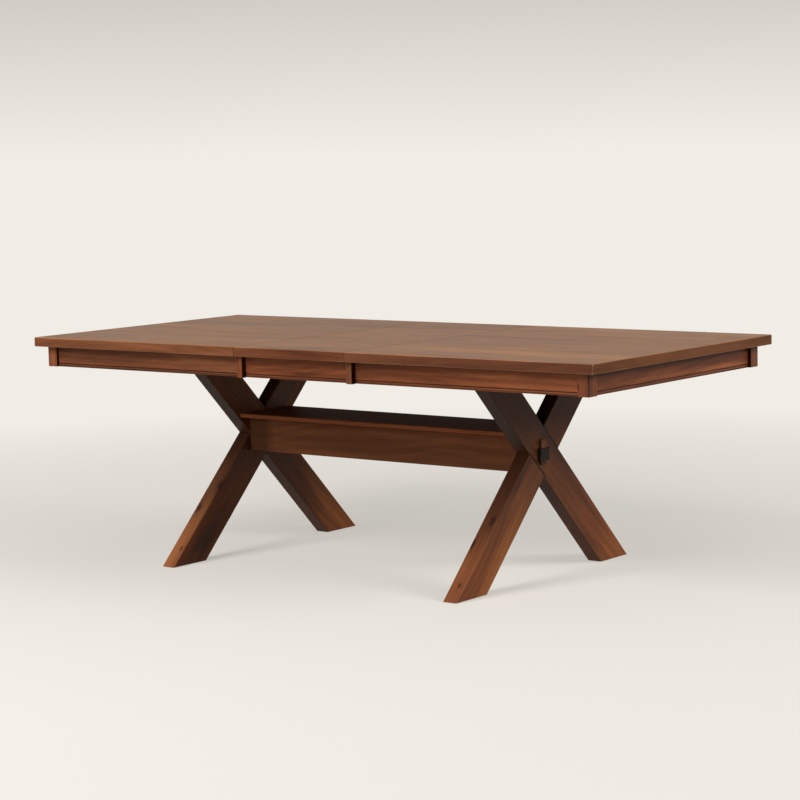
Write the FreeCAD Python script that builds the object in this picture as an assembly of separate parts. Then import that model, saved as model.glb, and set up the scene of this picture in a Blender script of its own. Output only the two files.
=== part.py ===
# Trestle dining table with two sliding top halves, a lift-out leaf, two crossed-leg frames
# and a box stretcher held by keyed through tenons.
# Millimetres. Origin on the floor under the centre of the top, +X along the table, +Z up.
# Left is -X, right is +X, front is -Y and back is +Y.
import FreeCAD, Part
import math
import os

V = FreeCAD.Vector

# Overall sizes
table_length = 2286.0
table_width = 1066.8
table_height = 762.0
leaf_length = 457.2
leaf_side_gap = 0.7
running_gap = 0.3

# Top panels
top_thickness = 32.0
top_edge_round = 3.0
seam_edge_chamfer = 1.5

# Aprons and the blocks that they run between
apron_height = 70.0
apron_thickness = 20.0
apron_setback_side = 43.4
apron_setback_end = 46.5
block_setback_side = 31.4
block_setback_end = 34.5
corner_block_along = 40.0
corner_block_across = 45.0
block_edge_chamfer = 1.2
bead_offset = 9.0
bead_height = 3.4
bead_depth = 3.0

# Blocks that cover the apron joints at the seams
seam_block_width = 22.0
seam_block_setback = 24.4
seam_block_drop = 1.0
seam_block_lip = 13.6

# Diagonal corner braces and their bolts
brace_outer_leg = 70.0
brace_inner_leg = 105.0
brace_height = 54.0
bolt_radius = 4.0
bolt_head_radius = 8.0
bolt_head_height = 5.0
bolt_bite = 12.0

# Extension runners
runner_height = 30.0
runner_width = 34.0
runner_setback = 273.4
runner_overhang = 64.5
tongue_reach = 8.0
tongue_height = 8.0
tongue_play = 0.5
rail_end_gap = 16.5
rail_seam_gap = 7.4
tie_width = 90.0
tie_height = 20.0

# Crossed-leg frames
frame_inset = 532.0
leg_thickness = 51.0
leg_width = 116.0
leg_foot_setback = 123.2
leg_head_setback = 269.6
leg_edge_chamfer = 1.5
cleat_height = 24.0
cleat_width = 60.0
cleat_setback = 133.4
cleat_end_chamfer = 10.0

# Foot glides
glide_radius = 11.0
glide_height = 5.0
glide_stand = 2.0
glide_pitch = 85.0
glide_edge_round = 1.0

# Box stretcher, placed from the crossing of the legs
stretcher_top_width = 265.0
stretcher_top_board = 15.0
stretcher_sink = 61.2
stretcher_height = 134.0
stretcher_side_board = 25.0
stretcher_bottom_board = 20.0
stretcher_edge_round = 4.0
stretcher_low_round = 2.0
end_block_length = 60.0

# Through tenons and their keys
tenon_centre = -12.0
tenon_width = 50.0
tenon_height = 41.0
tenon_sink = 7.7
tenon_reach = 13.0
tenon_chamfer = 1.5
key_width = 30.0
key_thick_top = 9.0
key_thick_low = 7.0
key_rise = 27.0
key_fall = 13.0
key_chamfer = 1.5

# Alignment pins between the halves and the leaf
pin_radius = 4.75
pin_depth = 22.0
pin_reach = 14.0
pin_drop = 16.0
pin_pitch = 350.0
pin_count = 3
pin_play = 0.3

# Wood screws
screw_radius = 3.0
screw_head_radius = 5.5
screw_head_height = 4.0
screw_recess = 1.0
cleat_screw_pitch = 96.0
cleat_screw_length = 50.0
runner_screw_length = 49.0
rail_screw_length = 44.0
rail_screw_count = 4
rail_screw_margin = 55.0
tie_screw_length = 38.0

# How far cutting bodies run past the faces that they cut
overrun = 5.0

# Share of an edge's length that must run along an axis for the edge to count as parallel to it
straight_share = 0.9999

# Levels and places that follow from the sizes above
underside = table_height - top_thickness
apron_low = underside - apron_height
cleat_top = underside - runner_height
leg_top = cleat_top - cleat_height
seam_x = leaf_length / 2
half_length = table_length / 2
half_width = table_width / 2
frame_outer = half_length - frame_inset
frame_middle = frame_outer - leg_thickness / 2
frame_inner = frame_outer - leg_thickness
foot_spread = half_width - leg_foot_setback
head_spread = half_width - leg_head_setback
leg_slant = (foot_spread + head_spread) / (leg_top - glide_stand)
crossing_height = glide_stand + foot_spread / leg_slant
runner_offset = half_width - runner_setback
leg_half_run = leg_width / 2 * math.hypot(1, leg_slant)
apron_face_y = half_width - apron_setback_side
apron_inner_y = apron_face_y - apron_thickness
apron_face_x = half_length - apron_setback_end
apron_inner_x = apron_face_x - apron_thickness
corner_x = half_length - block_setback_end - corner_block_along
corner_y = half_width - block_setback_side - corner_block_across
runner_end = frame_middle + runner_overhang
rail_offset = runner_width + running_gap
tongue_level = cleat_top + runner_height / 2 - tongue_height / 2
stretcher_bottom = crossing_height - stretcher_sink
stretcher_top = stretcher_bottom + stretcher_height
tenon_level = crossing_height - tenon_sink
tenon_low = tenon_level - tenon_height / 2
tenon_high = tenon_level + tenon_height / 2

made = []


def save(name, shape):
    """Write one node as its own STEP file."""
    solids = shape.Solids
    for solid in solids:
        if not solid.isValid() or solid.Volume <= 0:
            print("bad solid in", name)
    made.append((name, len(solids), sum(solid.Volume for solid in solids)))
    Part.makeCompound(solids).exportStep("parts/" + name + ".step")


def block(x0, x1, y0, y1, z0, z1):
    """A box between two corners."""
    return Part.makeBox(x1 - x0, y1 - y0, z1 - z0, V(x0, y0, z0))


def edges_along(shape, axis, keep):
    """Straight edges along one axis whose middle passes the test keep."""
    found = []
    for edge in shape.Edges:
        if len(edge.Vertexes) < 2:
            continue
        span = edge.Vertexes[1].Point - edge.Vertexes[0].Point
        if abs(span.dot(axis)) > straight_share * edge.Length and keep(edge.CenterOfMass):
            found.append(edge)
    return found


def eased(x0, x1, y0, y1, z0, z1, size):
    """A box with all its edges chamfered alike."""
    solid = block(x0, x1, y0, y1, z0, z1)
    return solid.makeChamfer(size, solid.Edges)


def turned(shape):
    """The same shape turned half a turn about Z, as the other half of the table."""
    copy = shape.copy()
    copy.rotate(V(0, 0, 0), V(0, 0, 1), math.degrees(math.pi))
    return copy


def screw(place, way, length):
    """A wood screw: a flat head and a plain shank, with the head's top at place."""
    head = Part.makeCylinder(screw_head_radius, screw_head_height, place, way)
    shank = Part.makeCylinder(screw_radius, length, place, way)
    return head.fuse(shank).removeSplitter()


def screw_hole(place, way, length):
    """The space of a screw, open above its head."""
    rise = screw_recess + overrun
    mouth = Part.makeCylinder(screw_head_radius, rise, place - way * rise, way)
    return screw(place, way, length).fuse(mouth)


def screws_at(places, way, length):
    """Screws and the holes that hold them, with the heads sunk by the recess."""
    seats = [place + way * screw_recess for place in places]
    return ([screw(seat, way, length) for seat in seats],
            Part.makeCompound([screw_hole(seat, way, length) for seat in seats]))


def spread(first, last, count):
    """Evenly spaced numbers from first to last."""
    return [first + (last - first) * step / (count - 1) for step in range(count)]


up = V(0, 0, 1)
down = V(0, 0, -1)
pin_places = [(index - (pin_count - 1) / 2) * pin_pitch for index in range(pin_count)]
pin_level = table_height - pin_drop


def pins():
    """Three dowels in the seam edge of the right half, standing out towards the leaf."""
    length = pin_depth + pin_reach
    tips = [V(seam_x - pin_reach, y, pin_level) for y in pin_places]
    return [Part.makeCylinder(pin_radius, length, tip, V(1, 0, 0)) for tip in tips]


def half_top():
    """The right half of the top: a panel with rounded outer edges and eased seam edges."""
    panel = block(seam_x, half_length, -half_width, half_width, underside, table_height)
    outer = [edge for edge in panel.Edges if edge.CenterOfMass.x > seam_x + leaf_side_gap]
    panel = panel.makeFillet(top_edge_round, outer)
    seam = edges_along(panel, V(0, 1, 0), lambda point: point.x < seam_x + leaf_side_gap)
    return panel.makeChamfer(seam_edge_chamfer, seam)


def leaf_top():
    """The leaf: rounded along its front and back edges, with slots for the pins open below."""
    reach = seam_x - leaf_side_gap
    panel = block(-reach, reach, -half_width, half_width, underside, table_height)
    panel = panel.makeFillet(top_edge_round, edges_along(panel, V(1, 0, 0), lambda point: True))
    panel = panel.makeChamfer(seam_edge_chamfer, edges_along(panel, V(0, 1, 0), lambda point: True))
    slot_half = pin_radius + pin_play
    slots = []
    for side in (-1, 1):
        for y in pin_places:
            near = side * (seam_x - pin_reach - pin_play)
            far = side * (seam_x + overrun)
            low_x, high_x = min(near, far), max(near, far)
            slots.append(block(low_x, high_x, y - slot_half, y + slot_half, underside - overrun, pin_level))
            slots.append(Part.makeCylinder(slot_half, high_x - low_x, V(low_x, y, pin_level), V(1, 0, 0)))
    return panel.cut(Part.makeCompound(slots))


def apron(x0, x1, y0, y1, face):
    """An apron board with a shallow bead groove near the lower edge of its outer face."""
    board = block(x0, x1, y0, y1, apron_low, underside)
    low = apron_low + bead_offset
    grooves = {
        "front": block(x0 - overrun, x1 + overrun, y0 - overrun, y0 + bead_depth, low, low + bead_height),
        "back": block(x0 - overrun, x1 + overrun, y1 - bead_depth, y1 + overrun, low, low + bead_height),
        "end": block(x1 - bead_depth, x1 + overrun, y0 - overrun, y1 + overrun, low, low + bead_height),
    }
    return board.cut(grooves[face])


def corner_block(side):
    """The corner block at the front (-1) or back (1) of the right half."""
    y_inner = side * corner_y
    y_outer = side * (corner_y + corner_block_across)
    return eased(corner_x, corner_x + corner_block_along, min(y_inner, y_outer), max(y_inner, y_outer),
                 apron_low, underside, block_edge_chamfer)


def seam_block(side):
    """The front (-1) or back (1) seam block of the right half, with a lip beside the leaf's apron."""
    low = apron_low - seam_block_drop
    lip_x = seam_x - seam_block_lip
    face = half_width - seam_block_setback
    depth = sorted((side * face, side * apron_face_y))
    lip_depth = sorted((side * face, side * (apron_face_y + running_gap)))
    body = block(seam_x, lip_x + seam_block_width, *depth, low, underside)
    lip = block(lip_x, seam_x, *lip_depth, low, underside - running_gap)
    solid = body.fuse(lip).removeSplitter()
    outer = [edge for edge in solid.Edges if abs(edge.CenterOfMass.y) > face - running_gap]
    return solid.makeChamfer(block_edge_chamfer, outer)


def brace(side):
    """A diagonal plank across the corner at the front (-1) or back (1) of the right half."""
    corner = V(apron_inner_x, side * apron_inner_y, apron_low + (apron_height - brace_height) / 2)
    outline = [V(-brace_inner_leg, 0, 0), V(-brace_outer_leg, 0, 0),
               V(0, -side * brace_outer_leg, 0), V(0, -side * brace_inner_leg, 0)]
    points = [corner + point for point in outline]
    return Part.Face(Part.makePolygon(points + points[:1])).extrude(V(0, 0, brace_height))


def corner_bolt(side):
    """A bolt on the diagonal, through the brace and into the corner block."""
    way = V(1, side, 0).normalize()
    reach = brace_inner_leg / 2
    start = V(apron_inner_x - reach, side * (apron_inner_y - reach), apron_low + apron_height / 2)
    length = math.hypot(reach, reach) + bolt_bite
    head = Part.makeCylinder(bolt_head_radius, bolt_head_height, start - way * bolt_head_height, way)
    return head.fuse(Part.makeCylinder(bolt_radius, length, start, way)).removeSplitter()


def fixed_runner(side):
    """A runner on the two cleats, with a tongue along each side."""
    middle = side * runner_offset
    top = underside - running_gap
    half = runner_width / 2
    body = block(-runner_end, runner_end, middle - half, middle + half, cleat_top, top)
    tongue_half = runner_width / 2 + tongue_reach
    tongue = block(-runner_end, runner_end, middle - tongue_half, middle + tongue_half,
                   tongue_level, tongue_level + tongue_height)
    return body.fuse(tongue).removeSplitter()


def slide_rail(side, shift, start, end):
    """A sliding rail beside a fixed runner, grooved for its tongue. shift is -1 inside, 1 outside."""
    centre = runner_offset + shift * rail_offset
    low, high = sorted((side * (centre - runner_width / 2), side * (centre + runner_width / 2)))
    body = block(start, end, low, high, cleat_top + running_gap, underside)
    tongue_half = runner_width / 2 + tongue_reach + tongue_play
    middle = side * runner_offset
    groove = block(start - overrun, end + overrun, middle - tongue_half, middle + tongue_half,
                   tongue_level - tongue_play, tongue_level + tongue_height + tongue_play)
    return body.cut(groove), side * centre


def leg_band(lean, x0, x1):
    """A slanted bar through the crossing, cut level at the glides and under the cleat."""
    def edge(z, side):
        return lean * (z - crossing_height) * leg_slant + side * leg_half_run
    low, high = glide_stand, leg_top
    points = [V(x0, edge(low, -1), low), V(x0, edge(low, 1), low),
              V(x0, edge(high, 1), high), V(x0, edge(high, -1), high)]
    return Part.Face(Part.makePolygon(points + points[:1])).extrude(V(x1 - x0, 0, 0))


def leg(lean, x0, x1):
    """A leg with its four long edges eased."""
    solid = leg_band(lean, x0, x1)
    way = V(0, lean * leg_slant, 1).normalize()
    return solid.makeChamfer(leg_edge_chamfer, edges_along(solid, way, lambda point: True))


def glide(x, y):
    """A round foot glide, half of it sunk in the leg."""
    disc = Part.makeCylinder(glide_radius, glide_height, V(x, y, 0))
    low = [edge for edge in disc.Edges if edge.CenterOfMass.z < glide_edge_round]
    return disc.makeChamfer(glide_edge_round, low)


def cleat(x):
    """The cross cleat on top of one frame, with its lower end corners cut off."""
    half = half_width - cleat_setback
    solid = block(x - cleat_width / 2, x + cleat_width / 2, -half, half, leg_top, cleat_top)
    ends = edges_along(solid, V(1, 0, 0), lambda point: point.z < leg_top + cleat_height / 2)
    return solid.makeChamfer(cleat_end_chamfer, ends)


def mortise(x0, x1):
    """The hole that a tenon fills between two places along the table."""
    half = tenon_width / 2
    return block(x0, x1, tenon_centre - half, tenon_centre + half, tenon_low, tenon_high)


def key(side):
    """A wedge standing in the tenon, flat against the frame and sloped on its outer face."""
    low = tenon_low - key_fall
    high = tenon_high + key_rise
    start = tenon_centre - key_width / 2
    points = [V(side * frame_outer, start, low), V(side * (frame_outer + key_thick_low), start, low),
              V(side * (frame_outer + key_thick_top), start, high), V(side * frame_outer, start, high)]
    return Part.Face(Part.makePolygon(points + points[:1])).extrude(V(0, key_width, 0))


def tenon(side):
    """A bar from the stretcher's end block through the frame, with its outer end eased."""
    inner = frame_inner - end_block_length
    outer = frame_outer + tenon_reach
    bar = mortise(*sorted((side * inner, side * outer)))
    tip = [edge for edge in bar.Edges if abs(edge.CenterOfMass.x - side * outer) < tenon_chamfer]
    return bar.makeChamfer(tenon_chamfer, tip)


def make_halves():
    """Both halves of the top with their aprons, blocks, braces, rails and pins."""
    pin_set = pins()
    top = half_top().cut(Part.makeCompound(pin_set))
    rail_start = seam_x + rail_seam_gap
    rail_end = apron_inner_x - rail_end_gap
    screw_x = spread(rail_start + rail_screw_margin, rail_end - rail_screw_margin, rail_screw_count)
    for name, shift, place in (("right", -1, lambda shape: shape), ("left", 1, turned)):
        panel = top
        screw_set = []
        for side, word in ((-1, "front"), (1, "back")):
            rail, y = slide_rail(side, shift, rail_start, rail_end)
            seats = [V(x, y, cleat_top + running_gap) for x in screw_x]
            screws, holes = screws_at(seats, up, rail_screw_length)
            panel = panel.cut(holes)
            screw_set += screws
            seen = word if name == "right" else {"front": "back", "back": "front"}[word]
            save("slide_rail_" + seen + "_" + name, place(rail.cut(holes)))
            y0, y1 = sorted((side * apron_face_y, side * apron_inner_y))
            save("apron_" + seen + "_" + name, place(apron(seam_x, corner_x, y0, y1, word)))
            bolt = corner_bolt(side)
            save("corner_block_" + seen + "_" + name, place(corner_block(side).cut(bolt)))
            save("corner_brace_" + seen + "_" + name, place(brace(side).cut(bolt)))
            save("seam_block_" + seen + "_" + name, place(seam_block(side)))
        save("top_" + name, place(panel))
        save("rail_screws_" + name, place(Part.makeCompound(screw_set)))
        save("apron_end_" + name, place(apron(apron_inner_x, apron_face_x, -corner_y, corner_y, "end")))
        save("corner_bolts_" + name, place(Part.makeCompound([corner_bolt(-1), corner_bolt(1)])))
        save("alignment_pins_" + name, place(Part.makeCompound(pin_set)))


def make_leaf():
    """The leaf with its two aprons."""
    reach = seam_x - leaf_side_gap
    save("leaf_top", leaf_top())
    save("leaf_apron_front", apron(-reach, reach, -apron_face_y, -apron_inner_y, "front"))
    save("leaf_apron_back", apron(-reach, reach, apron_inner_y, apron_face_y, "back"))


def make_frames():
    """Two crossed-leg frames with their cleats, glides and the fixed runners between them."""
    cleat_screws = []
    cleats = {}
    for name, side in (("left", -1), ("right", 1)):
        x0, x1 = sorted((side * frame_inner, side * frame_outer))
        middle = side * frame_middle
        long_leg = leg(-1, x0, x1).cut(leg_band(1, x0, middle))
        cross_leg = leg(1, x0, x1).cut(leg_band(-1, middle, x1))
        seats = [V(middle, end * head_spread + step * cleat_screw_pitch / 2, cleat_top)
                 for end in (-1, 1) for step in (-1, 1)]
        screws, holes = screws_at(seats, down, cleat_screw_length)
        cleat_screws += screws
        glides = {}
        for word, end in (("front", -1), ("back", 1)):
            glides[word] = Part.makeCompound([glide(middle, end * foot_spread + step * glide_pitch / 2)
                                              for step in (-1, 1)])
            save("foot_glides_" + word + "_" + name, glides[word])
        cut = Part.makeCompound(holes.Solids + glides["front"].Solids + glides["back"].Solids
                                + [mortise(x0, x1)])
        save("long_leg_" + name, long_leg.cut(cut))
        save("cross_leg_" + name, cross_leg.cut(cut))
        cleats[name] = cleat(middle).cut(holes)
    save("cleat_screws", Part.makeCompound(cleat_screws))
    runner_seats = [V(side * frame_middle, end * runner_offset, underside - running_gap)
                    for side in (-1, 1) for end in (-1, 1)]
    runner_screws, runner_holes = screws_at(runner_seats, down, runner_screw_length)
    tie_seats = [V(0, end * runner_offset, cleat_top - tie_height) for end in (-1, 1)]
    tie_screws, tie_holes = screws_at(tie_seats, up, tie_screw_length)
    for name in ("left", "right"):
        save("top_cleat_" + name, cleats[name].cut(runner_holes))
    for word, side in (("front", -1), ("back", 1)):
        save("fixed_runner_" + word, fixed_runner(side).cut(runner_holes).cut(tie_holes))
    tie_half = runner_offset + runner_width / 2
    tie = block(-tie_width / 2, tie_width / 2, -tie_half, tie_half, cleat_top - tie_height, cleat_top)
    save("runner_tie", tie.cut(tie_holes))
    save("runner_screws", Part.makeCompound(runner_screws))
    save("tie_screws", Part.makeCompound(tie_screws))


def make_stretcher():
    """The box stretcher: a wide board on a box of the crossing's width, with keyed tenons."""
    ends = (-frame_inner, frame_inner)
    inner_half = leg_half_run - stretcher_side_board
    shelf = stretcher_top - stretcher_top_board
    top_half = stretcher_top_width / 2
    top = block(*ends, -top_half, top_half, shelf, stretcher_top)
    long_edges = edges_along(top, V(1, 0, 0), lambda point: True)
    save("stretcher_top", top.makeFillet(stretcher_edge_round, long_edges))
    for name, y0, y1, outer in (("front", -leg_half_run, -inner_half, -leg_half_run),
                                ("back", inner_half, leg_half_run, leg_half_run)):
        board = block(*ends, y0, y1, stretcher_bottom, shelf)
        corner = V(0, outer, stretcher_bottom)
        low = edges_along(board, V(1, 0, 0), lambda point: (point - corner).Length < stretcher_low_round)
        save("stretcher_" + name, board.makeFillet(stretcher_low_round, low))
    floor = stretcher_bottom + stretcher_bottom_board
    save("stretcher_bottom", block(*ends, -inner_half, inner_half, stretcher_bottom, floor))
    for name, side in (("left", -1), ("right", 1)):
        x0, x1 = sorted((side * (frame_inner - end_block_length), side * frame_inner))
        filler = block(x0, x1, -inner_half, inner_half, floor, shelf)
        save("stretcher_end_block_" + name, filler.cut(mortise(x0, x1)))
        wedge = key(side)
        save("tenon_" + name, tenon(side).cut(wedge))
        tips = edges_along(wedge, V(1, 0, 0), lambda point: True)
        save("tenon_key_" + name, wedge.makeChamfer(key_chamfer, tips))


os.makedirs("parts", exist_ok=True)
make_halves()
make_leaf()
make_frames()
make_stretcher()
for name, count, volume in made:
    print(name, count, round(volume / 1000, 1), "cm3")
print(len(made), "nodes")
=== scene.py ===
import math
import bpy
import numpy as np
from mathutils import Euler, Matrix, Vector


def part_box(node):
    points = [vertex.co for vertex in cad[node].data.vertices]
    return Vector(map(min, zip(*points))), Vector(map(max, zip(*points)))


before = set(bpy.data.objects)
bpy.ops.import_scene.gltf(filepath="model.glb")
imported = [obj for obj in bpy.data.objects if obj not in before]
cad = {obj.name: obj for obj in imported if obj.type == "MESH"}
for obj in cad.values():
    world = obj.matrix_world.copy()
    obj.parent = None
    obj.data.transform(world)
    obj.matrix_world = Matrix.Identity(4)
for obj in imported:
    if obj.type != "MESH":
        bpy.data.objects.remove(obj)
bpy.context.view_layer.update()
print("stage 1: frame loaded,", len(cad), "nodes")


# Shader maths: one socket with operators, and one method for every other node.
class Link:
    def __init__(self, tree, socket):
        self.tree = tree
        self.socket = socket

    def math(self, kind, *others):
        # one Math node on this socket and the others
        node = self.tree.nodes.new("ShaderNodeMath")
        node.operation = kind
        for place, value in enumerate((self,) + others):
            plug(self.tree, node.inputs[place], value)
        return Link(self.tree, node.outputs[0])

    def __add__(self, other):
        return self.math("ADD", other)

    def __radd__(self, other):
        return self.math("ADD", other)

    def __sub__(self, other):
        return self.math("SUBTRACT", other)

    def __rsub__(self, other):
        return self.math("MULTIPLY_ADD", -1.0, other)

    def __mul__(self, other):
        return self.math("MULTIPLY", other)

    def __rmul__(self, other):
        return self.math("MULTIPLY", other)

    def __truediv__(self, other):
        return self.math("DIVIDE", other)

    def __pow__(self, other):
        return self.math("POWER", other)

    def __abs__(self):
        return self.math("ABSOLUTE")


def plug(tree, socket, value):
    # a link is joined to the socket, and a plain value is set on it
    if isinstance(value, Link):
        tree.links.new(value.socket, socket)
    else:
        socket.default_value = value


class Shade:
    # A tree of nodes. add() makes one node from its type, settings and socket values, where a socket
    # is given by its name or, as i0, i1 and so on, by its number.
    def __init__(self, owner, outputKind="ShaderNodeOutputMaterial"):
        owner.use_nodes = True
        self.owner = owner
        self.tree = owner.node_tree
        self.tree.nodes.clear()
        self.out = self.tree.nodes.new(outputKind)

    def add(self, kind, settings=None, output=0, **sockets):
        node = self.tree.nodes.new(kind)
        for key, value in (settings or {}).items():
            if key == "stops":
                ramp = node.color_ramp
                while len(ramp.elements) < len(value):
                    ramp.elements.new(0.5)
                for element, (place, colour) in zip(ramp.elements, value):
                    element.position = place
                    element.color = (*colour, 1)
            else:
                setattr(node, key, value)
        for key, value in sockets.items():
            name = key.replace("_", " ")
            where = node.inputs[int(key[1:])] if key[1:].isdigit() else node.inputs[name]
            if not isinstance(value, Link) and where.type == "RGBA" and len(value) == 3:
                value = (*value, 1)
            plug(self.tree, where, value)
        return Link(self.tree, node.outputs[output])

    def parts(self, vector):
        # a vector's three numbers
        node = self.add("ShaderNodeSeparateXYZ", i0=vector).socket.node
        return [Link(self.tree, output) for output in node.outputs]

    def vector(self, kind, first, second, output=0):
        return self.add("ShaderNodeVectorMath", {"operation": kind}, output, i0=first, i1=second)

    def noise(self, vector, stretch, detail=3.0, rough=0.5, warp=0.0):
        # noise on the point times stretch, so a big number is a fine pattern that way
        spot = self.vector("MULTIPLY", vector, stretch)
        return self.add("ShaderNodeTexNoise", Vector=spot, Scale=1.0, Detail=detail,
                        Roughness=rough, Distortion=warp)

    def clamp(self, value, low, high, start=0.0, end=1.0):
        # straight ramp from start to end while value goes from low to high
        return self.add("ShaderNodeMapRange", {"clamp": True}, i0=value, i1=low, i2=high, i3=start, i4=end)

    def band(self, value, place, reach, core, share=1.0):
        # share while value is within core times reach of the place, falling to none at the reach
        return self.clamp(abs(value - place), reach * core, reach, share, 0.0)

    def blend(self, share, first, second, kind="MIX"):
        # first times 1 - share plus second times share, or plus their product when kind is MULTIPLY
        return self.add("ShaderNodeMix", {"data_type": "RGBA", "blend_type": kind}, 2,
                        i0=share, i6=first, i7=second)

    def finish(self, shader):
        self.tree.links.new(shader.socket, self.out.inputs["Surface"])
        return self.owner


def srgb(red, green, blue):
    # the linear colour of a screen colour given as three numbers up to 255
    def part(value):
        value = value / 255
        return value / 12.92 if value <= 0.04045 else ((value + 0.055) / 1.055) ** 2.4
    return (part(red), part(green), part(blue))


def deeper(colour, share):
    # the colour with each of its parts times the share
    return tuple(share * part for part in colour)


quarter = math.pi / 2
alongX = (0, 0, 0)  # turns that bring a board's grain onto the first axis
alongY = (0, 0, quarter)
alongZ = (0, quarter, 0)
# Finishes: four colours, the wear and painted highlight along edges, then how much each part of the
# pattern counts. A board width divides the surface into boards side by side, and all the others are cut
# from one board.
oneBoard = {"boardWidth": 0.0, "speckShare": 0.0, "roughStreak": 0.1}
stainedTop = {
    "dark": srgb(76, 44, 20), "mid": srgb(119, 75, 38), "light": srgb(152, 102, 58),
    "wornAndHighlit": srgb(200, 152, 114), "wearAndHighlight": 0.45, "wearAndHighlightReach": 0.0030,
    "boardWidth": 0.13335, "boardTone": 0.12, "jointDark": 0.14, "ringStep": 0.012, "ringShare": 0.12,
    "fibreShare": 0.36, "streakShare": 1.10, "blotchShare": 0.80, "poreShare": 0.10, "speckShare": 0.0,
    "rough": 0.34, "roughStreak": 0.25, "shine": 0.045, "bump": 0.22}
stainedApron = oneBoard | {
    "dark": srgb(58, 27, 13), "mid": srgb(111, 60, 34), "light": srgb(148, 88, 53),
    "wornAndHighlit": srgb(164, 104, 64), "wearAndHighlight": 0.35, "wearAndHighlightReach": 0.0025, "ringStep": 0.011, "ringShare": 0.10,
    "fibreShare": 0.40, "streakShare": 0.90, "blotchShare": 0.90, "poreShare": 0.12, "speckShare": 0.175,
    "rough": 0.42, "shine": 0.12, "bump": 0.3}
blockWood = dict(stainedApron, mid=srgb(102, 55, 31), light=srgb(134, 80, 48), blotchShare=0.4)
stainedLeg = oneBoard | {
    "dark": srgb(57, 29, 15), "mid": srgb(121, 67, 36), "light": srgb(160, 99, 55),
    "wornAndHighlit": srgb(156, 106, 72), "wearAndHighlight": 0.35, "wearAndHighlightReach": 0.0028, "ringStep": 0.013, "ringShare": 0.08,
    "fibreShare": 0.30, "streakShare": 0.45, "blotchShare": 1.50, "poreShare": 0.10, "speckShare": 0.05,
    "rough": 0.46, "shine": 0.14, "bump": 0.35}
stainedStretcher = oneBoard | {
    "dark": srgb(60, 34, 20), "mid": srgb(101, 60, 37), "light": srgb(128, 78, 50),
    "wornAndHighlit": srgb(112, 70, 44), "wearAndHighlight": 0.25, "wearAndHighlightReach": 0.0025, "ringStep": 0.012, "ringShare": 0.10,
    "fibreShare": 0.34, "streakShare": 0.60, "blotchShare": 0.50, "poreShare": 0.10,
    "rough": 0.62, "shine": 0.06, "bump": 0.3}
shadedTop = dict(stainedStretcher, mid=srgb(130, 74, 46), shine=0.02, wornAndHighlit=srgb(138, 80, 48), wearAndHighlight=0.5)
darkTenon = oneBoard | {
    "dark": srgb(20, 14, 11), "mid": srgb(38, 28, 23), "light": srgb(64, 46, 36),
    "wornAndHighlit": srgb(90, 64, 48), "wearAndHighlight": 0.35, "wearAndHighlightReach": 0.0020, "ringStep": 0.006, "ringShare": 0.16,
    "fibreShare": 0.40, "streakShare": 0.40, "blotchShare": 0.40, "poreShare": 0.125,
    "rough": 0.5, "shine": 0.1, "bump": 0.35}
brownKey = dict(darkTenon, dark=srgb(52, 28, 17), mid=srgb(132, 78, 50), light=srgb(186, 126, 92))
plainRunner = oneBoard | {
    "dark": srgb(132, 98, 62), "mid": srgb(172, 136, 94), "light": srgb(200, 168, 124),
    "wornAndHighlit": srgb(206, 178, 138), "wearAndHighlight": 0.2, "wearAndHighlightReach": 0.0020, "ringStep": 0.009, "ringShare": 0.16,
    "fibreShare": 0.36, "streakShare": 0.50, "blotchShare": 0.35, "poreShare": 0.125,
    "rough": 0.55, "shine": 0.3, "bump": 0.3}
# The pattern that all the finishes share. Each noise has its stretch along, across and through the
# board, then its detail, roughness and warp. A range says where a ramp from 0 to 1 starts and ends,
# followed by the ramp's own two ends where they differ. Bends, depths and reaches are in metres.
grain = {
    "slow": ((0.9, 3.0, 3.0), 2.0), "slower": ((0.5, 1.4, 1.4), 1.0),
    "fibre": ((3.5, 170.0, 170.0), 5.0, 0.62), "streak": ((1.5, 38.0, 38.0), 4.0, 0.6, 0.3),
    "blotch": ((1.9, 9.0, 9.0), 3.0, 0.5, 0.6), "pore": ((16.0, 620.0, 620.0), 2.0, 0.5),
    "speck": ((70.0, 260.0, 260.0), 1.0, 0.5), "wobble": ((0.8, 1.6, 1.6), 2.0),
    "seedShift": (1.37, 0.61, 0.29), "laneShift": (7.0, 3.1, 1.7), "joint": (0.490, 0.498),
    "sideBend": 0.11, "depthBend": 0.16, "coreDepth": 0.05, "ringDrift": 9.0, "ringPower": 1.6,
    "ringMean": 0.42, "poreRange": (0.60, 0.72), "speckRange": (0.70, 0.78),
    "stops": (0.12, 0.5, 0.86), "wearAndHighlightRange": (0.32, 0.58, 0.35, 1.0), "wearAndHighlightCore": 0.25,
    "shadeAndJointDark": 0.35, "shadeAndJointRange": (0.3, 0.55, 0.7, 1.0), "shadeAndJointCore": 0.6, "cornerCore": 0.7,
    "fibreHeight": 0.5, "ringHeight": 0.12, "poreDepth": 0.6, "bumpReach": 0.0006,
    "fibreRough": 0.18, "poreRough": 0.15}
# knots: lengths and ranges in radii, then what they do to the rings, the colour and the height
knotLook = {"length": 0.45, "wobble": 0.9, "heart": (0.35, 1.15), "bend": (0.2, 3.2), "ringBend": 0.02,
            "bendDark": 0.12, "share": 0.88, "dark": 0.3, "dent": 0.4}
# the dark line beside a lap: where it starts and ends in from the edge, and how it fades
lapLine = {"fade": 0.003, "start": 0.0095, "end": 0.0060, "share": 0.85, "dark": 0.3}


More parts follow.
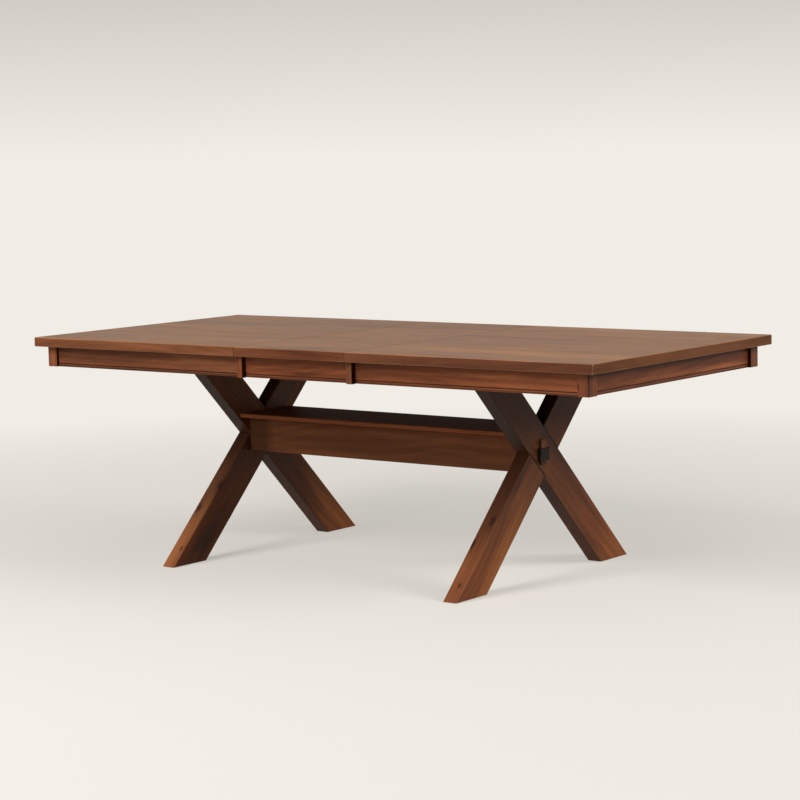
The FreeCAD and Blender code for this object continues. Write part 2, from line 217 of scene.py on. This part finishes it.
def wood(name, look, turn, seed, middle, halves, shadeAndJoints=(), edgeTone=None, knots=(), lap=None):
    # A solid pattern, worked out on the point from the board's middle, turned so that the grain is
    # the first axis. Growth rings are circles round a core line that runs with the grain and lies
    # outside the board, bent by slow noise. Streaks, fibres and pores are noise drawn out along the
    # grain. halves are half the board's length, width and depth, for the wear and painted highlight along
    # its edges. A knot is an ellipsoid that bends the rings, and lap is where the board is halved over
    # another.
    sh = Shade(bpy.data.materials.new(name))
    spot = sh.add("ShaderNodeTexCoord", output=3)
    places = sh.parts(spot)
    local = sh.add("ShaderNodeMapping", {"vector_type": "POINT"}, Rotation=turn,
                   Vector=sh.vector("SUBTRACT", spot, middle))
    # nearness to each pair of faces, 1 on the face; two near pairs meet in an edge, worn and carrying a
    # painted highlight
    ways = sh.parts(local)
    near = [sh.clamp(abs(way), half - look["wearAndHighlightReach"], half - look["wearAndHighlightReach"] * grain["wearAndHighlightCore"])
            for way, half in zip(ways, halves) if half]
    wornAndHighlit = near[0] * near[1]
    if len(near) == 3:
        wornAndHighlit = (wornAndHighlit + near[1] * near[2] + near[2] * near[0]).math("MINIMUM", 1.0)
    knot = 0.0
    bend = 0.0
    turned = Euler(turn).to_matrix()
    for place, size in knots:
        # distance from the knot's middle in its own radii, longer along the grain
        off = sh.vector("SUBTRACT", local, turned @ (Vector(place) - Vector(middle)))
        off = sh.vector("MULTIPLY", off, (knotLook["length"] / size, 1 / size, 1 / size))
        wobble = sh.noise(off, *grain["wobble"])
        far = sh.vector("LENGTH", off, (0, 0, 0), 1) + (wobble - 0.5) * knotLook["wobble"]
        knot = knot + sh.clamp(far, *knotLook["heart"], 1.0, 0.0)
        bend = bend + sh.clamp(far, *knotLook["bend"], 1.0, 0.0) ** 2.0
    spot = sh.vector("ADD", local, tuple(seed * part for part in grain["seedShift"]))
    tone = 0.0
    if look["boardWidth"]:
        # boards side by side, each with its own tone and its own stretch of the pattern
        lane = ways[1] / look["boardWidth"]
        pick = sh.add("ShaderNodeTexWhiteNoise", {"noise_dimensions": "1D"}, W=lane.math("FLOOR") + seed)
        edge = abs(lane.math("FRACT") - 0.5)
        tone = (pick - 0.5) * look["boardTone"] - sh.clamp(edge, *grain["joint"]) * look["jointDark"]
        shift = sh.add("ShaderNodeCombineXYZ", **{axis: pick * part
                                                  for axis, part in zip("XYZ", grain["laneShift"])})
        spot = sh.vector("ADD", spot, shift)
    if edgeTone:
        # the ends are faced with one thin strip whose grain runs across the table
        strip = sh.clamp(abs(places[0]), edgeTone["x"] - edgeTone["strip"][0],
                         edgeTone["x"] - edgeTone["strip"][1])
        crossed = sh.add("ShaderNodeMapping", {"vector_type": "POINT"}, Vector=local, Rotation=alongY)
        spot = sh.add("ShaderNodeMix", {"data_type": "VECTOR"}, 1, i0=strip, i4=spot, i5=crossed)
        tone = tone * (1.0 - strip)
    along, across, deep = sh.parts(spot)
    slow, slower, fibre, streak, blotch = (sh.noise(spot, *grain[kind]) for kind in (
        "slow", "slower", "fibre", "streak", "blotch"))
    side = across + (slow - 0.5) * grain["sideBend"]
    depth = deep + (slower - 0.5) * grain["depthBend"] + grain["coreDepth"]
    radius = (side * side + depth * depth).math("SQRT") + bend * knotLook["ringBend"]
    # sine of the radius in rings, drifting with the slow noise, with its light half made narrower
    ring = (radius * (2 * math.pi / look["ringStep"]) + slow * grain["ringDrift"]).math("SINE")
    ring = sh.clamp(ring, -1.0, 1.0) ** grain["ringPower"]
    pore = sh.clamp(sh.noise(spot, *grain["pore"]), *grain["poreRange"])
    level = (0.5 + (ring - grain["ringMean"]) * look["ringShare"] + (fibre - 0.5) * look["fibreShare"]
             + (streak - 0.5) * look["streakShare"] + (blotch - 0.5) * look["blotchShare"]
             + tone - pore * look["poreShare"])
    if look["speckShare"]:
        speck = sh.clamp(sh.noise(spot, *grain["speck"]), *grain["speckRange"])
        level = level + speck * look["speckShare"]
    if knots:
        level = level - bend * knotLook["bendDark"]
    if edgeTone:
        # the upright outer faces are calmer than the flat, and carry a tint: painted sheen in its bluer
        # part, painted light and shade in how bright each slab's faces are
        outer, ends = (sh.clamp(abs(places[axis]), edgeTone[key] - edgeTone["face"][0],
                                edgeTone[key] - edgeTone["face"][1]) for axis, key in ((1, "y"), (0, "x")))
        level = 0.5 + (level - 0.5) * (1.0 - outer.math("MAXIMUM", ends) * edgeTone["calm"])
    colours = (look["dark"], look["mid"], look["light"])
    colour = sh.add("ShaderNodeValToRGB", {"stops": list(zip(grain["stops"], colours))}, Fac=level)
    if edgeTone:
        colour = sh.blend(outer, colour, sh.blend(1.0, colour, edgeTone["sides"], "MULTIPLY"))
        colour = sh.blend(ends, colour, sh.blend(1.0, colour, edgeTone["endTint"], "MULTIPLY"))
    height = fibre * grain["fibreHeight"] + ring * grain["ringHeight"] - pore * grain["poreDepth"]
    # edges are paler, partly wear and partly a painted highlight where rounded edges catch the light,
    # broken up by the streaks
    colour = sh.blend(wornAndHighlit * sh.clamp(streak, *grain["wearAndHighlightRange"]) * look["wearAndHighlight"], colour, look["wornAndHighlit"])
    for kind, place, reach, share in shadeAndJoints:
        # Darkening where a face meets its neighbour: painted shade on faces, edges and nooks that the lamps
        # leave in shade, dark joint lines at the top's seams, and a darker bottom edge on the aprons. kind
        # is the axis that a face stands on, or corner for an upright line, width for a face of the turned
        # board, or rise for such a face with a darkening that fades in between two heights.
        if kind == "corner":
            line = (sh.band(places[0], place[0], reach, grain["cornerCore"], share)
                    * sh.band(places[1], place[1], reach, grain["cornerCore"]))
        elif kind == "rise":
            line = (sh.band(ways[2], place[0], reach, grain["shadeAndJointCore"], share)
                    * sh.clamp(places[2], place[1], place[2]))
        else:
            way = ways[2] if kind == "width" else places[kind]
            line = sh.band(way, place, reach, grain["shadeAndJointCore"], share)
        colour = sh.blend(line * sh.clamp(blotch, *grain["shadeAndJointRange"]), colour,
                          deeper(look["dark"], grain["shadeAndJointDark"]))
    if lap is not None:
        # a dark joint line along the board's edges, as far as the lap runs
        centre = (turned @ (Vector(lap) - Vector(middle)))[0]
        reach = sh.clamp(abs(ways[0] - centre), halves[2], halves[2] + lapLine["fade"], 1.0, 0.0)
        line = sh.clamp(abs(ways[2]), halves[2] - lapLine["start"], halves[2] - lapLine["end"])
        colour = sh.blend(line * reach * lapLine["share"], colour, deeper(look["dark"], lapLine["dark"]))
    if knots:
        knot = knot.math("MINIMUM", 1.0)
        colour = sh.blend(knot * knotLook["share"], colour, deeper(look["dark"], knotLook["dark"]))
        height = height - knot * knotLook["dent"]
    rough = (look["rough"] + (fibre - 0.5) * grain["fibreRough"] + (streak - 0.5) * look["roughStreak"]
             + pore * grain["poreRough"])
    bump = sh.add("ShaderNodeBump", Strength=look["bump"], Distance=grain["bumpReach"], Height=height)
    return sh.finish(sh.add("ShaderNodeBsdfPrincipled", Base_Color=colour, Roughness=rough, Normal=bump,
                            Specular_IOR_Level=look["shine"]))


mottle = {"fine": ((900.0, 900.0, 900.0), 3.0), "wide": ((70.0, 70.0, 70.0), 3.0), "deep": 0.75,
          "stops": (0.25, 0.75), "bump": 0.2, "bumpReach": 0.0002, "scuff": 0.2}


def plain(name, colour, rough, metal):
    # one colour with fine mottling, and small scuffs in the roughness
    sh = Shade(bpy.data.materials.new(name))
    spot = sh.add("ShaderNodeTexCoord", output=3)
    fine = sh.noise(spot, *mottle["fine"])
    wide = sh.noise(spot, *mottle["wide"])
    colours = (deeper(colour, mottle["deep"]), colour)
    shade = sh.add("ShaderNodeValToRGB", {"stops": list(zip(mottle["stops"], colours))}, Fac=wide)
    bump = sh.add("ShaderNodeBump", Strength=mottle["bump"], Distance=mottle["bumpReach"], Height=fine)
    return sh.finish(sh.add("ShaderNodeBsdfPrincipled", Base_Color=shade, Metallic=metal,
                            Roughness=rough + (wide - 0.5) * mottle["scuff"], Normal=bump))


screwSteel = plain("screwSteel", srgb(190, 188, 182), 0.35, 1.0)
glideBlack = plain("glideBlack", srgb(34, 33, 32), 0.55, 0.0)
# the slabs' outer faces, the facing strip at the ends, and the tints of the upright faces: painted sheen
# in their bluer part, painted light and shade in how bright each slab's front and ends are
slabEdge = {"x": 1.143, "y": 0.5334, "strip": (0.0034, 0.0030), "face": (0.0020, 0.0006),
            "calm": 0.40, "endTint": (0.73, 0.70, 0.98),
            "top_left": (1.00, 0.98, 1.58), "leaf_top": (0.78, 0.70, 1.14), "top_right": (0.77, 0.75, 1.38)}
# Painted shade and dark joint lines, by piece: places, heights and reaches in metres in the table's
# frame, and shares.
seamGlaze = {"reach": 0.0020, "share": 0.8,
             "top_left": (-0.2286,), "leaf_top": (-0.2279, 0.2279), "top_right": (0.2286,)}
# painted shade in the bead groove, and darker along the apron's bottom edge
apronDarkening = {"groove": 0.6707, "grooveReach": 0.0024, "grooveShare": 0.75,
              "lowReach": 0.0070, "lowShare": 0.65}
# painted shade on the blocks' side faces beside the aprons, and down a corner block's outer upright corner
blockShade = {"reach": 0.0008, "share": 0.88, "cornerReach": 0.0042, "cornerShare": 0.9}
# a painted shadow spot beside the front right corner block's step, drawn as a dark knot
cornerShadowSpot = ((1.070, -0.502, 0.689), 0.006)  # middle and radius
# Legs: the half width, the height of the lap, the painted shade under the table, and the knots by height
# and offset. frontFace is the painted shade on the narrow face that looks to the front, by the leg's
# slope: its share, then the two heights between which more comes in, and that share.
legBoard = {"half": 0.058, "lapRise": 0.4122, "shadeReach": 0.60, "shadeShare": 0.46, "faceReach": 0.0015,
            "frontFace": {1: (0.30, 0.05, 0.34, 0.82), -1: (0.62, 0.40, 0.46, 0.68)},
            "knotSize": (0.010, 0.010, 0.005),
            "rightRise": (0.224, 0.158, 0.048), "rightShift": (0.0105, -0.0205, 0.0055),
            "leftRise": (0.250, 0.178, 0.058), "leftShift": (0.0205, -0.0105, 0.0105)}
# painted shade on a tenon's front side face, and painted shadow of the tenon on the key's foot
tenonShade = {"reach": 0.0012, "share": 0.85, "keyReach": 0.026, "keyShare": 0.8}
# painted shade on the stretcher's top board, over its upper face and a little on its front edge
shelfShade = {"reach": 0.0015, "upperShare": 0.50, "frontShare": 0.22}
# painted shade on the stretcher's boards, towards their left ends by the frame and towards their bottom
stretcherShade = {"endReach": 0.110, "endShare": 0.60, "lowReach": 0.10, "lowShare": 0.36}
# pieces painted darker than the rest of their kind: painted shade that evens out how strongly the lamps
# light them
shadedBoards = {"apron_front_left": (0.76, 0.86, 1.0), "seam_block_front_right": (0.72, 0.78, 0.92)}
seeds = {"step": 0.73, "start": 1.9}  # each board's own place in the pattern


def slope(node):
    # 1 where a leg's board rises towards the back, -1 where it rises towards the front
    points = np.empty(len(cad[node].data.vertices) * 3)
    cad[node].data.vertices.foreach_get("co", points)
    points = points.reshape(-1, 3)
    points = points - points.mean(axis=0)
    return 1 if (points[:, 1] * points[:, 2]).sum() > 0 else -1


def legKnots(low, high):
    # Dark knots on the narrow upper face of a leg's front lower arm, given by their height. foot is
    # the leg's width cut level at 45 degrees, and run is how far back it goes for each metre up.
    side = "right" if low[0] > 0 else "left"
    places = zip(legBoard[side + "Rise"], legBoard[side + "Shift"], legBoard["knotSize"])
    foot = legBoard["half"] * 2 * math.sqrt(2)
    run = (high[1] - low[1] - foot) / (high[2] - low[2])
    return [(((low[0] + high[0]) / 2 + shift, low[1] + (rise - low[2]) * run, rise), size)
            for rise, shift, size in places]


def shadeAndJointsFor(node):
    # where a node is darkened, with painted shade and dark joint lines: kind, place, reach and share of each
    low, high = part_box(node)
    if "apron" in node:
        # painted shade in the bead groove, and darker along the bottom edge
        return [(2, apronDarkening["groove"], apronDarkening["grooveReach"], apronDarkening["grooveShare"]),
                (2, low[2], apronDarkening["lowReach"], apronDarkening["lowShare"])]
    if "seam_block" in node:
        # painted shade on both side faces
        return [(0, side, blockShade["reach"], blockShade["share"]) for side in (low[0], high[0])]
    if "corner_block" in node:
        right, back = low[0] > 0, low[1] > 0
        inner, outer = (low[0], high[0]) if right else (high[0], low[0])
        nearer, further = (low[1], high[1]) if back else (high[1], low[1])
        # painted shade on the inner side faces and down the outer corner
        return [(0, inner, blockShade["reach"], blockShade["share"]),
                (1, nearer, blockShade["reach"], blockShade["share"]),
                ("corner", (outer, further), blockShade["cornerReach"], blockShade["cornerShare"])]
    if "_leg_" in node:
        # painted shade: darker up under the table, and on the narrow face that looks to the front
        rising = slope(node)
        upward = (Euler((-rising * math.pi / 4, 0, quarter)).to_matrix() @ Vector((0, 0, 1)))[2]
        narrow = math.copysign(legBoard["half"], upward * rising)
        share, start, end, upperShare = legBoard["frontFace"][rising]
        return [(2, high[2], legBoard["shadeReach"], legBoard["shadeShare"]),
                ("width", narrow, legBoard["faceReach"], share),
                ("rise", (narrow, start, end), legBoard["faceReach"], upperShare)]
    if "tenon" in node:
        # painted shade on the front side face, and painted shadow on the key's foot
        side = (1, low[1], tenonShade["reach"], tenonShade["share"])
        foot = (2, low[2], tenonShade["keyReach"], tenonShade["keyShare"])
        return [side, foot] if "key" in node else [side]
    if node == "stretcher_top":
        # painted shade on the upper face and the front edge
        return [(2, high[2], shelfShade["reach"], shelfShade["upperShare"]),
                (1, low[1], shelfShade["reach"], shelfShade["frontShare"])]
    if node in ("stretcher_front", "stretcher_back"):
        # painted shade towards the left end and towards the bottom
        return [(0, low[0], stretcherShade["endReach"], stretcherShade["endShare"]),
                (2, low[2], stretcherShade["lowReach"], stretcherShade["lowShare"])]
    return [(0, place, seamGlaze["reach"], seamGlaze["share"]) for place in seamGlaze.get(node, ())]


# The CAD nodes show as they are and get their materials here: which finish each kind of piece has,
# and how its grain runs. The first line that fits counts.
finishes = [
    ("top_cleat", stainedStretcher, alongY), ("stretcher_top", shadedTop, alongX),
    ("stretcher", stainedStretcher, alongX), ("top", stainedTop, alongX),
    ("apron_end", stainedApron, alongY), ("apron", stainedApron, alongX),
    ("corner_block", blockWood, alongZ), ("seam_block", blockWood, alongZ), ("leg", stainedLeg, None),
    ("tenon_key", brownKey, alongZ), ("tenon", darkTenon, alongX),
    ("tie", plainRunner, alongY), ("brace", plainRunner, alongY), ("", plainRunner, alongX)]
for place, node in enumerate(sorted(cad)):
    low, high = (Vector(corner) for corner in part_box(node))
    mesh = cad[node].data
    mesh.materials.clear()
    if "screws" in node or "bolts" in node:
        mesh.materials.append(screwSteel)
        continue
    if "glides" in node:
        mesh.materials.append(glideBlack)
        continue
    look, turn = next((finish, way) for word, finish, way in finishes if word in node)
    # painted shade: a darker copy of the finish
    if node in shadedBoards:
        look = look | {shade: tuple(np.multiply(look[shade], shadedBoards[node]))
                       for shade in ("dark", "mid", "light")}
    # the front right corner block carries a painted shadow spot, drawn as a knot
    knots = [cornerShadowSpot] if node == "corner_block_front_right" else ()
    lap = None
    if turn is None:
        # a leg's grain runs up its slope, and the two legs of a frame lap where they cross
        rising = slope(node)
        turn = (-rising * math.pi / 4, 0, quarter)
        halves = (0, (high[0] - low[0]) / 2, legBoard["half"])
        knots = legKnots(low, high) if rising > 0 else ()
        lap = ((low[0] + high[0]) / 2, 0, legBoard["lapRise"])
    else:
        halves = [abs(half) for half in Euler(turn).to_matrix() @ ((high - low) / 2)]
    edgeTone = dict(slabEdge, sides=slabEdge[node]) if look is stainedTop else None
    seed = place * seeds["step"] + seeds["start"]
    mesh.materials.append(wood(node + "Wood", look, turn, seed, (low + high) / 2, halves,
                               shadeAndJointsFor(node), edgeTone, knots, lap))
print("stage 2: materials made")


camera = {"place": (4.7731, -6.1812, 1.4193), "yaw": 0.654, "pitch": 0.1114, "roll": -0.0223,
          "lens": 105.55, "sensor": 36.0, "clipEnd": 100}
studio = {"floorReach": 28.0, "sweepStart": 9.0, "sweepRadius": 2.0, "wallTop": 7.0,
          "floorColour": srgb(206, 203, 198), "bounceColour": srgb(80, 68, 56),
          "nearGlow": 0.5, "wallPale": srgb(241, 237, 230), "glowStart": 1.0, "glowEnd": 4.5,
          "wallDim": srgb(208, 203, 196), "dimStart": 1.3, "dimEnd": 2.6,
          "airColour": (1.0, 0.985, 0.96), "airStrength": 0.10, "viewStrength": 0.8,
          "curveSteps": 24, "wideSteps": 5}
lights = {
    "sideLight": {"place": (6.2, 1.2, 3.7), "size": 3.0, "power": 375, "colour": (1.0, 0.97, 0.93)},
    "overheadLight": {"place": (-0.3, -0.6, 4.6), "size": 4.5, "power": 10, "colour": (1.0, 0.98, 0.96)},
    "frontLight": {"place": (-1.2, -5.2, 4.1), "size": 2.5, "power": 395, "colour": (1.0, 0.96, 0.92)},
    "lowLight": {"place": (0.6, -6.0, 0.9), "size": 3.0, "power": 165, "colour": (1.0, 0.96, 0.92)}}


def sweep(name, look, yaw):
    # Floor, quarter circle and wall: a profile of points carried sideways, then turned by the yaw to
    # face the camera.
    turn = np.linspace(0, quarter, look["curveSteps"])
    run = np.concatenate([[-look["floorReach"]], look["sweepStart"] + look["sweepRadius"] * np.sin(turn),
                          [look["sweepStart"] + look["sweepRadius"]]])
    rise = np.concatenate([[0], look["sweepRadius"] * (1 - np.cos(turn)), [look["wallTop"]]])
    wide = np.linspace(-look["floorReach"], look["floorReach"], look["wideSteps"])
    grid = np.stack(np.broadcast_arrays(wide[:, None], run[None], rise[None]), axis=-1)
    x = grid[..., 0] * math.cos(yaw) - grid[..., 1] * math.sin(yaw)
    y = grid[..., 0] * math.sin(yaw) + grid[..., 1] * math.cos(yaw)
    verts = np.stack([x, y, grid[..., 2]], axis=-1).reshape(-1, 3)
    rows, cols = grid.shape[:2]
    first = (np.arange(rows - 1)[:, None] * cols + np.arange(cols - 1)).ravel()
    faces = np.stack([first, first + cols, first + cols + 1, first + 1], axis=1)
    mesh = bpy.data.meshes.new(name)
    mesh.from_pydata(verts.tolist(), [], faces.tolist())
    mesh.shade_smooth()
    piece = bpy.data.objects.new(name, mesh)
    bpy.context.scene.collection.objects.link(piece)
    return piece


def lookFrom(view):
    # the view direction from yaw and pitch, with right and up turned about it by the roll
    yaw, pitch, roll = view["yaw"], view["pitch"], view["roll"]
    ahead = Vector((-math.sin(yaw) * math.cos(pitch), math.cos(yaw) * math.cos(pitch), -math.sin(pitch)))
    right = Vector((math.cos(yaw), math.sin(yaw), 0))
    above = right.cross(ahead)
    right, above = (right * math.cos(roll) + above * math.sin(roll),
                    above * math.cos(roll) - right * math.sin(roll))
    data = bpy.data.cameras.new("camera")
    data.lens = view["lens"]
    data.sensor_width = view["sensor"]
    data.clip_end = view["clipEnd"]
    eye = bpy.data.objects.new("camera", data)
    turn = Matrix((right, above, -ahead)).transposed().to_4x4()
    eye.matrix_world = Matrix.Translation(view["place"]) @ turn
    bpy.context.scene.collection.objects.link(eye)
    bpy.context.scene.camera = eye


def softLight(name, lamp, target=(0, 0, 0.5)):
    # a square lamp whose -Z looks at the target
    data = bpy.data.lights.new(name, "AREA")
    data.shape = "SQUARE"
    data.size = lamp["size"]
    data.energy = lamp["power"]
    data.color = lamp["colour"]
    piece = bpy.data.objects.new(name, data)
    piece.location = lamp["place"]
    piece.rotation_euler = (Vector(target) - Vector(lamp["place"])).to_track_quat("-Z", "Y").to_euler()
    bpy.context.scene.collection.objects.link(piece)


def showing(sh):
    # 1 for rays that show the background: from the camera, in reflections and through glass
    kinds = [sh.add("ShaderNodeLightPath", output=name)
             for name in ("Is Camera Ray", "Is Glossy Ray", "Is Transmission Ray")]
    return (kinds[0] + kinds[1] + kinds[2]).math("MINIMUM", 1.0)


def studioPaint(look):
    # Half paint that takes shadows, half pale glow. Away from the table, and up the wall, the glow
    # takes over, and it dims a little towards the top.
    sh = Shade(bpy.data.materials.new("studioPaint"))
    shown = showing(sh)
    spot = sh.add("ShaderNodeTexCoord", output=3)
    height = sh.parts(spot)[2]
    away = sh.vector("LENGTH", spot, (0, 0, 0), 1)
    share = sh.clamp(away, look["glowStart"], look["glowEnd"], look["nearGlow"], 1.0) * shown
    paint = sh.add("ShaderNodeBsdfDiffuse", Color=sh.blend(shown, look["bounceColour"], look["floorColour"]))
    dim = sh.clamp(height, look["dimStart"], look["dimEnd"])
    glow = sh.add("ShaderNodeEmission", Color=sh.blend(dim, look["wallPale"], look["wallDim"]), Strength=1.0)
    return sh.finish(sh.add("ShaderNodeMixShader", i0=share, i1=paint, i2=glow))


lookFrom(camera)
floor = sweep("studioSweep", studio, camera["yaw"])
floor.data.materials.append(studioPaint(studio))
for name, lamp in lights.items():
    softLight(name, lamp)
bpy.context.scene.world = bpy.data.worlds.new("studioAir")
air = Shade(bpy.context.scene.world, "ShaderNodeOutputWorld")
strength = showing(air) * (studio["viewStrength"] - studio["airStrength"]) + studio["airStrength"]
air.finish(air.add("ShaderNodeBackground", Color=studio["airColour"], Strength=strength))
bpy.context.scene.view_settings.view_transform = "Standard"
print("stage 3: studio set")
